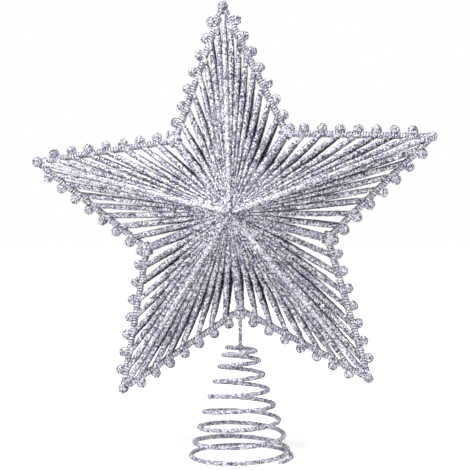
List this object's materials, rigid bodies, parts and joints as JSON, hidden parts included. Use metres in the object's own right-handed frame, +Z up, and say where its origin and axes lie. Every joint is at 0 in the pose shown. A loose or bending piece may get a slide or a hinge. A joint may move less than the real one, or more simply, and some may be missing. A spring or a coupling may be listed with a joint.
{
  "type": "tree topper star",
  "caption": "Two-sided star of glittered cords strung over a beaded wire outline, on a stem and a conical coil spring that slips over the tip of a Christmas tree.",
  "frame": {"origin": "centre of the coil spring's bottom turn, on the plane it stands on", "axes": "+Z up along the spring's axis, -Y out of the star's front face, +X to the right as seen from the front"},
  "size_m": [0.2222, 0.0561, 0.2487],
  "materials": {
    "glittered_wire": "satin",
    "glittered_cord": "satin",
    "glittered_bead": "gloss"
  },
  "bodies": {
    "spring": {"coil_spring": "glittered_wire"},
    "weld": {"spring_weld": "glittered_wire"},
    "stem": {"stem": "glittered_wire"},
    "star": {"back_cords_left_arm": "glittered_cord", "back_cords_lower_left_arm": "glittered_cord", "back_cords_lower_right_arm": "glittered_cord", "back_cords_right_arm": "glittered_cord", "back_cords_top_arm": "glittered_cord", "back_peak_cap": "glittered_wire", "back_rib_bottom": "glittered_wire", "back_rib_left": "glittered_wire", "back_rib_right": "glittered_wire", "back_rib_upper_left": "glittered_wire", "back_rib_upper_right": "glittered_wire", "bead_wire": "glittered_wire", "edge_beads_left_arm": "glittered_bead", "edge_beads_lower_left_arm": "glittered_bead", "edge_beads_lower_right_arm": "glittered_bead", "edge_beads_right_arm": "glittered_bead", "edge_beads_top_arm": "glittered_bead", "front_cords_left_arm": "glittered_cord", "front_cords_lower_left_arm": "glittered_cord", "front_cords_lower_right_arm": "glittered_cord", "front_cords_right_arm": "glittered_cord", "front_cords_top_arm": "glittered_cord", "front_peak_cap": "glittered_wire", "front_rib_bottom": "glittered_wire", "front_rib_left": "glittered_wire", "front_rib_right": "glittered_wire", "front_rib_upper_left": "glittered_wire", "front_rib_upper_right": "glittered_wire", "notch_beads": "glittered_bead", "outline_left_arm_a": "glittered_wire", "outline_left_arm_b": "glittered_wire", "outline_lower_left_arm_a": "glittered_wire", "outline_lower_left_arm_b": "glittered_wire", "outline_lower_right_arm_a": "glittered_wire", "outline_lower_right_arm_b": "glittered_wire", "outline_right_arm_a": "glittered_wire", "outline_right_arm_b": "glittered_wire", "outline_top_arm_a": "glittered_wire", "outline_top_arm_b": "glittered_wire"}
  },
  "joints": [
    {"name": "spring_press", "type": "slide", "parent": "spring", "child": "weld", "axis": [0, 0, 1], "range_m": [-0.02, 0], "stiffness_N_per_m": 100, "springref_m": 0.012, "deforming": ["coil_spring"]},
    {"name": "star_sway", "type": "hinge", "parent": "weld", "child": "stem", "pos_m": [0, 0, 0.05937], "axis": [0, 1, 0], "range_deg": [-10, 10], "stiffness_Nm_per_rad": 0.8},
    {"name": "star_nod", "type": "hinge", "parent": "stem", "child": "star", "pos_m": [0, 0, 0.08027], "axis": [0.9983, 0, 0.0576], "range_deg": [-15, 15]}
  ]
}
